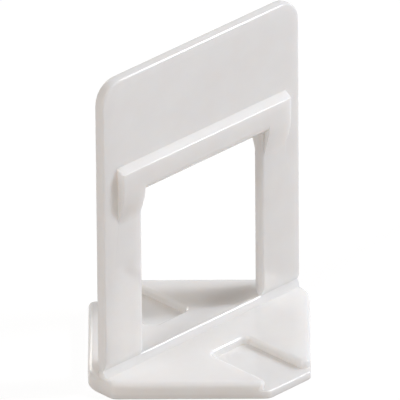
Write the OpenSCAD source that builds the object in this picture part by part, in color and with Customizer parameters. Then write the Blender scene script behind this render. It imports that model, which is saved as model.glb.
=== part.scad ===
// Tile levelling clip: a thin upright panel with a wedge window, snapped off its flat base along
// a weak neck once the tiles have set. Injection moulded in one piece, so it is one solid.
// Millimetres. X runs along the panel, Y through it, Z up. The origin is the middle of the underside.

/* [Panel] */
// Width of the upright panel, end to end
panel_w = 34.4; // [30:0.2:42]
// Thickness of the panel, which is the joint left between two tiles
panel_t = 1.5; // [1:0.1:3]
// Height from the underside of the base to the top of the panel
clip_h = 43; // [38:0.5:60]
// Radius of the two top corners of the panel
panel_corner_r = 3.1; // [1:0.1:6]
// Radius along the front and back edges of the panel and its window
panel_edge_r = 0.3; // [0.1:0.05:0.45]
// How far the panel's ends fall away from the mould's parting line towards each face
parting_draw = 0.06; // [0:0.01:0.15]

/* [Wedge window] */
// Width of the window that the wedge passes through
window_w = 21; // [16:0.5:23]
// Height of the window, from the break line to the underside of the lintel
window_h = 23.4; // [18:0.2:26]

/* [Lintel] */
// How far the ends of the ledge on each face lie in from the ends of the panel
ledge_set = 2.45; // [1:0.05:4]
// How far the ledge stands out from each face of the panel
ledge_reach = 1.05; // [0.6:0.05:1.6]
// Height of the lintel, from its underside to where the ledge meets the panel
ledge_h = 4.4; // [3.5:0.1:6]
// Drop of the sloping top of the ledge, from the panel to its ridge
ledge_fall = 0.7; // [0.3:0.05:1.2]
// Radius along the ridge of the ledge
ridge_r = 0.12; // [0.05:0.01:0.25]
// Radius under the lintel, where the wedge bears
bearing_r = 1.3; // [0.4:0.1:1.4]

/* [Gussets] */
// Height of the stretch down each leg over which a gusset dies away
gusset_h = 5.2; // [3:0.1:8]
// How far above the underside of the lintel the gusset starts to taper
gusset_start = 0.8; // [0.2:0.1:2]
// Radius along the outer edges of the ledge and gussets
gusset_edge_r = 0.3; // [0.1:0.05:0.45]

/* [Break line] */
// Thickness of plastic left at the break line
neck_t = 0.46; // [0.3:0.02:0.8]
// Height of the rib from the top of the base to the break line
rib_h = 0.9; // [0.5:0.05:1.5]
// Height of the groove above the break line
groove_h = 1.05; // [0.5:0.05:2]
// Radius along the two edges of the sill under the window
sill_r = 0.2; // [0.05:0.05:0.25]

/* [Base] */
// How far the base reaches past each end of the panel
base_margin = 0.2; // [0.1:0.1:3]
// Depth of the base, front to back
base_d = 32; // [26:0.2:40]
// Thickness of the base
base_t = 2.15; // [1.6:0.05:3]
// Width of the base's two ends, between the slanting sides
base_end_w = 4.4; // [3.6:0.1:8]
// Radius of the front right and back left corners at the two ends
base_corner_r = 4.4; // [1:0.1:4.8]
// Radius of the other two corners at the ends
base_point_r = 1.2; // [0.9:0.1:4.8]
// Radius round the top edge of the base
base_edge_r = 0.7; // [0.1:0.05:0.85]
// Width of the mark that the mould's parting line leaves down each end of the base
seam_w = 0.12; // [0.04:0.02:0.16]

/* [Mortar notches] */
// Width of the notch in each half of the base
notch_w = 6.5; // [4:0.1:10]
// Distance of a notch's inner wall from the middle of the clip
notch_inner = 5; // [3:0.1:8]
// Thickness of the floor left under a notch
floor_t = 1.05; // [0.6:0.05:1.4]
// Radius of the two inner corners of a notch
notch_corner_r = 1; // [0.5:0.1:1.9]
// Radius round the top edge of a notch
notch_edge_r = 0.45; // [0.1:0.05:0.5]
// Width of the base left at the nose on each side of a notch
nose_land = 0.4; // [0.2:0.05:1]
// Radius of the corners of the nose
nose_r = 1.4; // [0.9:0.1:2]
// Length trimmed from the pointed tips beside the mouth of a notch, along each side of the tip
tip_trim = 1.5; // [1.3:0.1:2]
// Radius of the corners of a trimmed tip
tip_r = 0.6; // [0.55:0.05:0.7]
// Radius along the mouth of a notch
lip_r = 0.25; // [0.05:0.05:0.4]

/* [Hidden] */

// Straight steps in one rounded corner
arc_steps = 6;
// Straight steps down the S-shaped taper of a gusset
taper_steps = 12;
// How far a cutter reaches past what it cuts
clear = 0.2;
// How deep the ledge and gussets run out under the faces of the panel
sink = 0.06;
// Levels closer together than this count as one
apart = 0.001;
// Share of a tip's cut that is straight, before it turns towards the side of the base
tip_straight = 0.7;

half_t = panel_t / 2;
shelf_y = half_t + ledge_reach;
neck_z = base_t + rib_h;
window_top = neck_z + window_h;
ledge_top = window_top + ledge_h;
ridge_z = ledge_top - ledge_fall;
taper_top = window_top + gusset_start;
taper_foot = taper_top - gusset_h;
nose_w = notch_w + 2 * nose_land;
base_w = panel_w + 2 * base_margin;
ledge_w = panel_w - 2 * ledge_set;

// Plan of the base: straight noses at the front and back, slanting sides and ends that are alike when
// the clip is turned half round
base_plan = [
    [nose_w / 2, -base_d / 2], [base_w / 2, -base_end_w / 2], [base_w / 2, base_end_w / 2],
    [nose_w / 2, base_d / 2], [-nose_w / 2, base_d / 2], [-base_w / 2, base_end_w / 2],
    [-base_w / 2, -base_end_w / 2], [-nose_w / 2, -base_d / 2]
];
base_radii = [
    for (q = base_plan)
        abs(q.x) < base_w / 2 ? nose_r : q.x * q.y < 0 ? base_corner_r : base_point_r
];

// The side of a notch would meet the slanting side of the base past the nose. The point between them
// is trimmed square across. Before the cut meets the side of the base it turns half way towards it, and
// runs on clear of the base.
slant = [base_w - nose_w, base_d - base_end_w];
tip_y = base_d / 2 + nose_land * slant.y / slant.x;
tip = [notch_w / 2, tip_trim - tip_y];
tip_cut = tip_trim * (slant / norm(slant) - [0, 1]);
tip_bend = tip + tip_straight * tip_cut;
mouth = tip_bend + 2 * tip_trim * unit(unit(tip_cut) + slant / norm(slant));

// Plan of the pocket that makes the front notch: its right half, and the same on the left
pocket_side = [[mouth.x, -tip_y - clear], mouth, tip_bend, tip, [notch_w / 2, -notch_inner]];
pocket_plan = concat(
    pocket_side,
    [for (k = [len(pocket_side) - 1 : -1 : 0]) [-pocket_side[k].x, pocket_side[k].y]]
);
pocket_radii = [for (q = pocket_plan) q.y == -notch_inner ? notch_corner_r : tip_r];

// Front view of the panel, from inside the base to its top
panel_face = [[-panel_w / 2, floor_t], [panel_w / 2, floor_t], [panel_w / 2, clip_h], [-panel_w / 2, clip_h]];
panel_foot_r = (base_t - floor_t) / 2;
panel_radii = [panel_foot_r, panel_foot_r, panel_corner_r, panel_corner_r];

function unit(v) = v / norm(v);
function left_of(v) = [-v.y, v.x];
function leaving(p, i) = unit(p[(i + 1) % len(p)] - p[i]);
function arriving(p, i) = leaving(p, (i + len(p) - 1) % len(p));

// Angle through which an outline turns at a corner, positive where it bulges outwards
function turn(p, i) = atan2(cross(arriving(p, i), leaving(p, i)), arriving(p, i) * leaving(p, i));
function side(p, i) = sign(turn(p, i));

// Length that a corner's round takes from each of its two sides, and the middle of that round
function tangent(p, r, i) = r[i] * abs(tan(turn(p, i) / 2));
function centre(p, r, i) =
    p[i] - tangent(p, r, i) * arriving(p, i) + side(p, i) * r[i] * left_of(arriving(p, i));
function first_angle(p, i) = let (v = -side(p, i) * left_of(arriving(p, i))) atan2(v.y, v.x);

// A closed outline with an arc at each corner, moved in by a distance
function inset(p, r, d) = [
    for (i = [0 : len(p) - 1])
        for (k = [0 : arc_steps])
            let (a = first_angle(p, i) + turn(p, i) * k / arc_steps)
                centre(p, r, i) + (r[i] - side(p, i) * d) * [cos(a), sin(a)]
];

// How far in and how high an edge round lies at each of its steps, up to a level top
function edge_round(r, top) = [
    for (k = [0 : arc_steps])
        let (a = 90 * k / arc_steps)
            [r * (1 - cos(a)), top - r * (1 - sin(a))]
];

// An outline at each of a list of levels, given by how far in it lies and how high
function stack(p, r, levels) = [for (level = levels) [for (q = inset(p, r, level[0])) [q.x, q.y, level[1]]]];

// Solid over a stack of outlines with as many points each
module loft(rings) {
    n = len(rings[0]);
    last = len(rings) - 1;
    skin = [
        for (k = [0 : last - 1])
            for (i = [0 : n - 1])
                [k * n + i, (k + 1) * n + i, (k + 1) * n + (i + 1) % n, k * n + (i + 1) % n]
    ];
    caps = [[for (i = [0 : n - 1]) i], [for (i = [n - 1 : -1 : 0]) last * n + i]];
    polyhedron([for (ring = rings) each ring], concat(skin, caps));
}

// Across its thickness, the end of the panel has two drawn flanks that meet at the parting line, each
// with a round onto its face
panel_half = [for (level = edge_round(panel_edge_r, half_t)) [parting_draw + level[0], level[1]]];
panel_levels = concat(
    [for (k = [len(panel_half) - 1 : -1 : 0]) [panel_half[k][0], -panel_half[k][1]]],
    [[0, 0]],
    panel_half
);

module panel() {
    rotate([90, 0, 0])
        loft(stack(panel_face, panel_radii, panel_levels));
}

// Half depth and height of the ledge and gussets, from the foot of the taper to above the ledge
function taper(k) = (1 - cos(180 * k / taper_steps)) / 2;
taper_levels = [
    for (k = [0 : taper_steps])
        [half_t - sink + (ledge_reach + sink) * taper(k), taper_foot + gusset_h * k / taper_steps]
];
ridge = [
    [shelf_y, taper_top],
    [shelf_y, ridge_z],
    [half_t - sink, ledge_top + sink * ledge_fall / ledge_reach]
];
ridge_arc = [for (k = [0 : arc_steps]) inset(ridge, [0, ridge_r, 0], 0)[arc_steps + 1 + k]];
shelf_levels = concat(taper_levels, ridge_arc, [ridge[2]]);

// Ledge and gussets as one loft over level outlines
module shelf() {
    x = ledge_w / 2;
    radii = [for (k = [0 : 3]) gusset_edge_r];
    loft([
        for (level = shelf_levels)
            let (y = level[0])
                for (ring = stack([[x, -y], [x, y], [-x, y], [-x, -y]], radii, [[0, level[1]]]))
                    ring
    ]);
}

// Round by which an opening widens towards a face, over the distance from the parting line
function flared(r, face, narrow) = [for (level = edge_round(r, face)) [level[1], narrow + level[0]]];

// Half width and top of the window, each as a table over the distance from the parting line
window_reach = shelf_y + clear;
window_sides = concat([[0, window_w / 2]], flared(panel_edge_r, half_t, window_w / 2 + parting_draw));
window_tops = concat([[0, window_top]], flared(bearing_r, shelf_y, window_top));

// The same for the sill, which rounds over onto the flank of the rib. The last step of the round runs on
// past the flank.
flank_fall = atan2(rib_h, half_t - neck_t / 2);
sill_flat = neck_t / 2 - sill_r * tan(flank_fall / 2);
sill_round = [
    for (k = [0 : arc_steps - 1])
        let (a = flank_fall * k / arc_steps)
            [sill_flat + sill_r * sin(a), neck_z - sill_r * (1 - cos(a))]
];
sill_end = flank_fall * (1 - 0.5 / arc_steps);
window_sills = concat(sill_round, [sill_round[arc_steps - 1] + clear * [cos(sill_end), -sin(sill_end)]]);

// Numbers in rising order, without those that lie next to an earlier one
function sorted(v) = len(v) == 0 ? [] : concat(
    sorted([for (q = v) if (q < v[0] - apart) q]),
    [v[0]],
    sorted([for (q = v) if (q > v[0] + apart) q])
);
window_steps = sorted([
    for (q = concat(window_sides, window_tops, window_sills, [[window_reach]]))
        q[0]
]);
window_levels = concat([for (k = [len(window_steps) - 1 : -1 : 1]) -window_steps[k]], window_steps);

// Outline of the window at a distance from the parting line
function window_face(y) =
    let (
        x = lookup(abs(y), window_sides),
        sill = lookup(abs(y), window_sills),
        top = lookup(abs(y), window_tops)
    )
        [[-x, sill, y], [x, sill, y], [x, top, y], [-x, top, y]];

// Window, narrowest at the parting line, with rounds onto the faces, the sill and the lintel
module window() {
    rotate([90, 0, 0])
        loft([for (y = window_levels) window_face(y)]);
}

// V-groove along one face at the foot of the panel, which leaves the rib and the neck
module groove() {
    out = half_t + clear;
    rotate([90, 0, 90])
        linear_extrude(panel_w + 2 * clear, center = true)
            polygon([
                [half_t, base_t], [out, base_t], [out, neck_z + groove_h],
                [half_t, neck_z + groove_h], [neck_t / 2, neck_z]
            ]);
}

module upright() {
    difference() {
        union() {
            panel();
            shelf();
        }
        window();
        groove();
        mirror([0, 1])
            groove();
    }
}

// What takes away the front notch: straight walls, and a flare that rounds their top edge
module pocket() {
    flare = [for (level = edge_round(notch_edge_r, base_t)) [-level[0], level[1]]];
    translate([0, 0, floor_t])
        linear_extrude(base_t)
            polygon(inset(pocket_plan, pocket_radii, 0));
    loft(stack(pocket_plan, pocket_radii, concat(flare, [[-notch_edge_r, base_t + clear]])));
}

// What rounds the lip left along the nose, under the mouth of the front notch
module lip() {
    round = [for (level = edge_round(lip_r, floor_t)) [level[0] - base_d / 2, level[1]]];
    rotate([90, 0, 90])
        linear_extrude(nose_w, center = true)
            polygon(concat(
                [[-base_d / 2 - clear, floor_t - lip_r]],
                round,
                [[lip_r - base_d / 2, floor_t + clear], [-base_d / 2 - clear, floor_t + clear]]
            ));
}

// What cuts the mark of the parting line down the right end of the base
module seam() {
    translate([base_w / 2, 0, -clear])
        linear_extrude(base_t + 2 * clear)
            polygon([[-seam_w / 2, 0], [seam_w, -1.5 * seam_w], [seam_w, 1.5 * seam_w]]);
}

module base() {
    difference() {
        loft(stack(base_plan, base_radii, concat([[0, 0]], edge_round(base_edge_r, base_t))));
        for (end = [0, 180])
            rotate(end) {
                pocket();
                lip();
                seam();
            }
    }
}

module clip() {
    color([0.93, 0.93, 0.92])
        union() {
            base();
            upright();
        }
}

clip();
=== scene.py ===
# %% [markdown]
# # Tile levelling clip
# The clip is one piece of white polypropylene, injection moulded: a thin panel with a window for a
# wedge, standing on a flat base with two notches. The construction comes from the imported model, in
# metres, so this lesson only dresses it: it shades the rounds smoothly, gives the plastic its finish,
# and sets up the floor, the light and the camera.

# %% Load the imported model
import math

import bpy
import numpy as np
from mathutils import Matrix, Vector

MM = 0.001


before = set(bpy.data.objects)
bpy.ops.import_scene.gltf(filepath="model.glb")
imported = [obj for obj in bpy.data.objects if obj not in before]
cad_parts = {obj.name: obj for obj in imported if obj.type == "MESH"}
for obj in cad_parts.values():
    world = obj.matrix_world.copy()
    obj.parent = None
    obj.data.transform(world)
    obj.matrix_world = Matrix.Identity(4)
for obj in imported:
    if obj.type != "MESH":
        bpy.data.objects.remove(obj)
scene = bpy.context.scene
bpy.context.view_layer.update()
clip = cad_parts["clip"]

# %% [markdown]
# ## The moulded skin
# A moulding has no knife edges: the steel of the mould is never quite sharp, and the plastic shrinks
# back from its corners. The construction already has the rounds, as narrow facets. Shading them smooth
# by hand would mean changing the mesh, so a small tree of geometry nodes does it instead. It welds the
# loose triangles, and lets the light run smoothly over every edge that turns by less than an angle. A
# sharper edge stays an edge.

# %% Weld the triangles and smooth the rounds
WELD_DISTANCE = 0.002 * MM
SMOOTH_ANGLE = math.radians(32)


def add_node(tree, kind, feeds=None, **settings):
    """Adds one node: settings are its properties, feeds gives an input a constant or an output."""
    made = tree.nodes.new(kind)
    for name, value in settings.items():
        setattr(made, name, value)
    for socket, value in (feeds or {}).items():
        if isinstance(value, bpy.types.NodeSocket):
            tree.links.new(value, made.inputs[socket])
        else:
            made.inputs[socket].default_value = value
    return made


skin = bpy.data.node_groups.new("moulded_skin", "GeometryNodeTree")
skin.interface.new_socket("Geometry", in_out="INPUT", socket_type="NodeSocketGeometry")
skin.interface.new_socket("Geometry", in_out="OUTPUT", socket_type="NodeSocketGeometry")
loose = add_node(skin, "NodeGroupInput").outputs["Geometry"]
plain = add_node(
    skin,
    "GeometryNodeRemoveAttribute",
    {"Geometry": loose, "Name": "custom_normal"},
)
welded = add_node(
    skin,
    "GeometryNodeMergeByDistance",
    {"Geometry": plain.outputs["Geometry"], "Distance": WELD_DISTANCE},
)
smooth = add_node(
    skin,
    "GeometryNodeSetShadeSmooth",
    {"Geometry": welded.outputs["Geometry"], "Shade Smooth": True},
    domain="FACE",
)
bend = add_node(skin, "GeometryNodeInputMeshEdgeAngle")
gentle = add_node(
    skin,
    "FunctionNodeCompare",
    {"A": bend.outputs["Unsigned Angle"], "B": SMOOTH_ANGLE},
    operation="LESS_THAN",
)
edged = add_node(
    skin,
    "GeometryNodeSetShadeSmooth",
    {"Geometry": smooth.outputs["Geometry"], "Shade Smooth": gentle.outputs["Result"]},
    domain="EDGE",
)
add_node(skin, "NodeGroupOutput", {"Geometry": edged.outputs["Geometry"]})
clip.modifiers.new("moulded_skin", "NODES").node_group = skin
print("moulded skin:", len(skin.nodes), "nodes")

# %% [markdown]
# ## White polypropylene
# Levelling clips are moulded in polypropylene, a waxy plastic that is white because it scatters light,
# not because its surface is painted. Light that enters the lit top of an edge comes out a millimetre or
# two further on, so corners glow, thin walls lose a little light to the far side, and shadows have soft,
# warm rims. That calls for subsurface scattering with a mean path of about two millimetres, longer for
# red than for blue. A coat of white paint would be the other way to make it, but its shadows would be
# hard and grey. The mould was polished, so the skin is glossy and the lamps draw fine bright lines along
# the rounded edges. The gloss is a trace warm, which keeps these lines white although the key is cool.
# Cooling leaves the skin a little uneven, and the flow of the melt leaves faint clouds in it.

# %% Read a colour as light


def linear(hex_colour):
    """Linear RGBA of an sRGB hex colour: c/12.92 below 0.04045, else ((c+0.055)/1.055)^2.4."""
    srgb = np.array([int(hex_colour[i : i + 2], 16) for i in (1, 3, 5)]) / 255
    rgb = np.where(srgb <= 0.04045, srgb / 12.92, ((srgb + 0.055) / 1.055) ** 2.4)
    return (*rgb.tolist(), 1.0)


WHITE = linear("#FFFFFF")
print("white as light:", WHITE)

# %% Mix the plastic
CLOUD_SIZE = 5 * MM
CLOUD_COLOURS = ("#F2F0EE", "#F5F4F2")
GRAIN_SIZE = 0.3 * MM
GRAIN_HEIGHT = 0.0015 * MM
SWELL_SIZE = 2.5 * MM
SWELL_HEIGHT = 0.012 * MM
NOISE_SPAN = (0.3, 0.7)  # where most of a noise's values lie
ROUGHNESS_SPAN = (0.1, 0.15)
REFRACTION = 1.49
GLOSS_LEVEL = 0.75
GLOSS_TINT = "#FFFAF3"
SCATTER_PATH = 2 * MM
SCATTER_SHARES = (1.0, 0.92, 0.85)  # of that path, for red, green and blue


def blank_tree(owner):
    """The emptied node tree of a material or a world."""
    owner.use_nodes = True
    owner.node_tree.nodes.clear()
    return owner.node_tree


def noise(tree, place, size, detail, roughness=0.5):
    """Noise whose broadest features are about one size across."""
    return add_node(
        tree,
        "ShaderNodeTexNoise",
        {"Vector": place, "Scale": 1 / size, "Detail": detail, "Roughness": roughness},
    ).outputs["Fac"]


def polypropylene():
    """Natural white polypropylene from a polished mould: milky, glossy, faintly clouded and uneven."""
    material = bpy.data.materials.new("moulded_polypropylene")
    tree = blank_tree(material)
    place = add_node(tree, "ShaderNodeTexCoord").outputs["Object"]
    clouds = noise(tree, place, CLOUD_SIZE, detail=3.0, roughness=0.55)
    grain = noise(tree, place, GRAIN_SIZE, detail=2.0, roughness=0.6)
    swell = noise(tree, place, SWELL_SIZE, detail=1.0)
    colour = add_node(tree, "ShaderNodeValToRGB", {"Fac": clouds})
    for stop, position, shade in zip(colour.color_ramp.elements, NOISE_SPAN, CLOUD_COLOURS):
        stop.position = position
        stop.color = linear(shade)
    rough = add_node(
        tree,
        "ShaderNodeMapRange",
        {
            "Value": grain,
            "From Min": NOISE_SPAN[0],
            "From Max": NOISE_SPAN[1],
            "To Min": ROUGHNESS_SPAN[0],
            "To Max": ROUGHNESS_SPAN[1],
        },
    )
    waves = add_node(
        tree,
        "ShaderNodeBump",
        {"Height": swell, "Strength": 1.0, "Distance": SWELL_HEIGHT},
    ).outputs["Normal"]
    surface = add_node(
        tree,
        "ShaderNodeBump",
        {"Height": grain, "Strength": 1.0, "Distance": GRAIN_HEIGHT, "Normal": waves},
    ).outputs["Normal"]
    plastic = add_node(
        tree,
        "ShaderNodeBsdfPrincipled",
        {
            "Base Color": colour.outputs["Color"],
            "Roughness": rough.outputs["Result"],
            "IOR": REFRACTION,
            "Specular IOR Level": GLOSS_LEVEL,
            "Specular Tint": linear(GLOSS_TINT),
            "Subsurface Weight": 1.0,
            "Subsurface Radius": SCATTER_SHARES,
            "Subsurface Scale": SCATTER_PATH,
            "Normal": surface,
        },
    )
    add_node(tree, "ShaderNodeOutputMaterial", {"Surface": plastic.outputs["BSDF"]})
    return material


white_plastic = polypropylene()
clip.material_slots[0].material = white_plastic
print("plastic:", len(white_plastic.node_tree.nodes), "nodes")

# %% [markdown]
# ## Floor and background
# The photograph has a plain white ground. A white sweep would need more light than the clip can take,
# so the floor and the world answer the camera, and the rays that gloss mirrors, with plain white. The
# floor keeps a share of its own shading there, so the clip's shadow stays on it, and its white is set a
# little over full to make up for that share. To every other ray the floor is white card in soft light,
# with a painted glow of its own mixed in. The glow is no lamp: it stands in for the light that goes down
# through the thin base and comes back from white card, since tracing that to and fro would take too many
# bounces. The glow is not shadowed, so it lights the clip from below even where the clip shades the
# card.

# %% Mix the white card
WHITE_LEVEL = 1.07
SHADOW_SHARE = 0.12
CARD_COLOUR = "#E9E6E2"
# the painted glow: an emission on the card that stands in for light bounced back into the thin base
PAINTED_GLOW_COLOUR = "#FFF6F2"
PAINTED_GLOW_LEVEL = 0.52
SHADE_SHARE = 0.6


def mix(tree, share, first, second):
    """A blend of two shaders: share 0 gives the first and 1 the second."""
    return add_node(tree, "ShaderNodeMixShader", {0: share, 1: first, 2: second}).outputs[0]


def seen_white(tree):
    """1 for rays that should meet plain white: the camera's own, mirrored ones and those let through."""
    path = add_node(tree, "ShaderNodeLightPath").outputs
    mirrored = add_node(
        tree,
        "ShaderNodeMath",
        {0: path["Is Camera Ray"], 1: path["Is Glossy Ray"]},
        operation="ADD",
    )
    return add_node(
        tree,
        "ShaderNodeMath",
        {0: mirrored.outputs[0], 1: path["Is Transmission Ray"]},
        operation="ADD",
        use_clamp=True,
    ).outputs[0]


def pale_card():
    """Matt white card that the camera sees as pure white, apart from a share of the shadow on it; other
    rays see card mixed with a painted glow.
    """
    material = bpy.data.materials.new("white_card")
    tree = blank_tree(material)
    card = add_node(tree, "ShaderNodeBsdfDiffuse", {"Color": linear(CARD_COLOUR)}).outputs[0]
    white = add_node(tree, "ShaderNodeEmission", {"Color": WHITE, "Strength": WHITE_LEVEL})
    bright = mix(tree, SHADOW_SHARE, white.outputs[0], card)
    # painted glow: the card emits light of its own, unshadowed, in place of the bounce from white card
    painted_glow = add_node(
        tree,
        "ShaderNodeEmission",
        {"Color": linear(PAINTED_GLOW_COLOUR), "Strength": PAINTED_GLOW_LEVEL},
    )
    card_and_painted_glow = mix(tree, SHADE_SHARE, painted_glow.outputs[0], card)
    shown = mix(tree, seen_white(tree), card_and_painted_glow, bright)
    add_node(tree, "ShaderNodeOutputMaterial", {"Surface": shown})
    return material


white_card = pale_card()
print("card:", len(white_card.node_tree.nodes), "nodes")

# %% Lay the floor
FLOOR_SIZE = 1.2
FLOOR_DROP = 0.02 * MM  # keeps the floor from sharing a plane with the underside

half = FLOOR_SIZE / 2
floor_mesh = bpy.data.meshes.new("floor")
floor_mesh.from_pydata(
    [(-half, -half, 0), (half, -half, 0), (half, half, 0), (-half, half, 0)],
    [],
    [(0, 1, 2, 3)],
)
floor = bpy.data.objects.new("floor", floor_mesh)
scene.collection.objects.link(floor)
floor.location.z = -FLOOR_DROP
floor.data.materials.append(white_card)
print("floor:", FLOOR_SIZE, "m square")

# %% [markdown]
# ## Light
# The clip was lit as small goods usually are, from two sides. The key is a softbox on the right of the
# camera: the shadows of the legs fall from it to the back and the left, and fade out softly. A softbox
# is brightest in its middle, so a smaller lamp stands in it as its core, which draws the fine lines on
# the edges. On the left stand a weaker softbox with a core of its own, a little warmer, and a low fill.
# A last lamp behind keeps the back from going grey. Each lamp is a disk far enough away to light the
# whole clip evenly, and is given by where it stands, how wide it looks from the clip, and how bright it
# makes a white card that faces it. The room gives the rest, a faint warm light from all around.

# %% Set up the lamps
LAMP_DISTANCE = 1.5
LAMP_AIM = Vector((0, 0, 18 * MM))
# azimuth, elevation and width in degrees, level, colour
LAMPS = {
    "key": (-38, 35, 24, 0.43, "#F4F8FF"),
    "key_core": (-38, 38, 8, 0.34, "#F4F8FF"),
    "left": (-171, 49, 24, 0.12, "#FFFCF8"),
    "left_core": (-171, 49, 6, 0.17, "#FFFCF8"),
    "left_low": (180, 18, 30, 0.08, "#FFF5F0"),
    "back": (76, 17, 30, 0.17, "#FFFDFA"),
}


def softbox(name, azimuth, elevation, width, level, colour):
    """Adds a round area lamp aimed at the clip, that lights a white card facing it to the level."""
    data = bpy.data.lights.new(name, "AREA")
    data.shape = "DISK"
    data.size = 2 * LAMP_DISTANCE * math.tan(math.radians(width / 2))
    data.energy = level * math.pi**2 * LAMP_DISTANCE**2
    data.color = linear(colour)[:3]
    lamp = bpy.data.objects.new(name, data)
    scene.collection.objects.link(lamp)
    around, over = math.radians(azimuth), math.radians(elevation)
    flat = math.cos(over)
    towards = Vector((math.cos(around) * flat, math.sin(around) * flat, math.sin(over)))
    lamp.location = LAMP_AIM + LAMP_DISTANCE * towards
    lamp.rotation_euler = towards.to_track_quat("Z", "Y").to_euler()


for lamp_name, settings in LAMPS.items():
    softbox(lamp_name, *settings)
print("lamps:", ", ".join(LAMPS))

# %% Fill the room
ROOM_LEVEL = 0.08
ROOM_COLOUR = "#FFE9DF"

room = bpy.data.worlds.new("pale_room")
air = blank_tree(room)
fill = add_node(
    air,
    "ShaderNodeBackground",
    {"Color": linear(ROOM_COLOUR), "Strength": ROOM_LEVEL},
)
ground = add_node(air, "ShaderNodeBackground", {"Color": WHITE, "Strength": 1.0})
sky = mix(air, seen_white(air), fill.outputs[0], ground.outputs[0])
add_node(air, "ShaderNodeOutputWorld", {"Surface": sky})
scene.world = room
print("room:", ROOM_LEVEL)

# %% [markdown]
# ## Camera
# The photograph was taken from far away, from the front left and above. The numbers are a fit of the
# clip's corners to it: a turn, a tilt, a small roll, a distance and a shift across the view. The camera
# is moved by that shift instead of using a lens shift, so other views stay centred.

# %% Place the camera
FRAME_PX = 400
FOCAL_PX = 16000
SENSOR = 36.0
TURN, TILT, ROLL = (math.radians(angle) for angle in (-44.698, 27.972, -0.450))
DISTANCE = 1988.646 * MM
SHIFT = (-0.211 * MM, -0.526 * MM)
LOOK_AT = Vector((0, 0, 20 * MM))

back = Vector((math.sin(TURN) * math.cos(TILT), -math.cos(TURN) * math.cos(TILT), math.sin(TILT)))
across = Vector((math.cos(TURN), math.sin(TURN), 0))
above = back.cross(across)
right = math.cos(ROLL) * across + math.sin(ROLL) * above
up = -math.sin(ROLL) * across + math.cos(ROLL) * above
camera_data = bpy.data.cameras.new("camera")
camera_data.sensor_width = SENSOR
camera_data.lens = SENSOR * FOCAL_PX / FRAME_PX
camera = bpy.data.objects.new("camera", camera_data)
scene.collection.objects.link(camera)
stand = LOOK_AT + DISTANCE * back - SHIFT[0] * right - SHIFT[1] * up
turned = Matrix((right, up, back)).transposed().to_4x4()
camera.matrix_world = Matrix.Translation(stand) @ turned
scene.camera = camera
scene.view_settings.view_transform = "Standard"
print("camera:", round(DISTANCE, 3), "m away, lens", round(camera_data.lens), "mm")

# %% Bring the view layer up to date
bpy.context.view_layer.update()
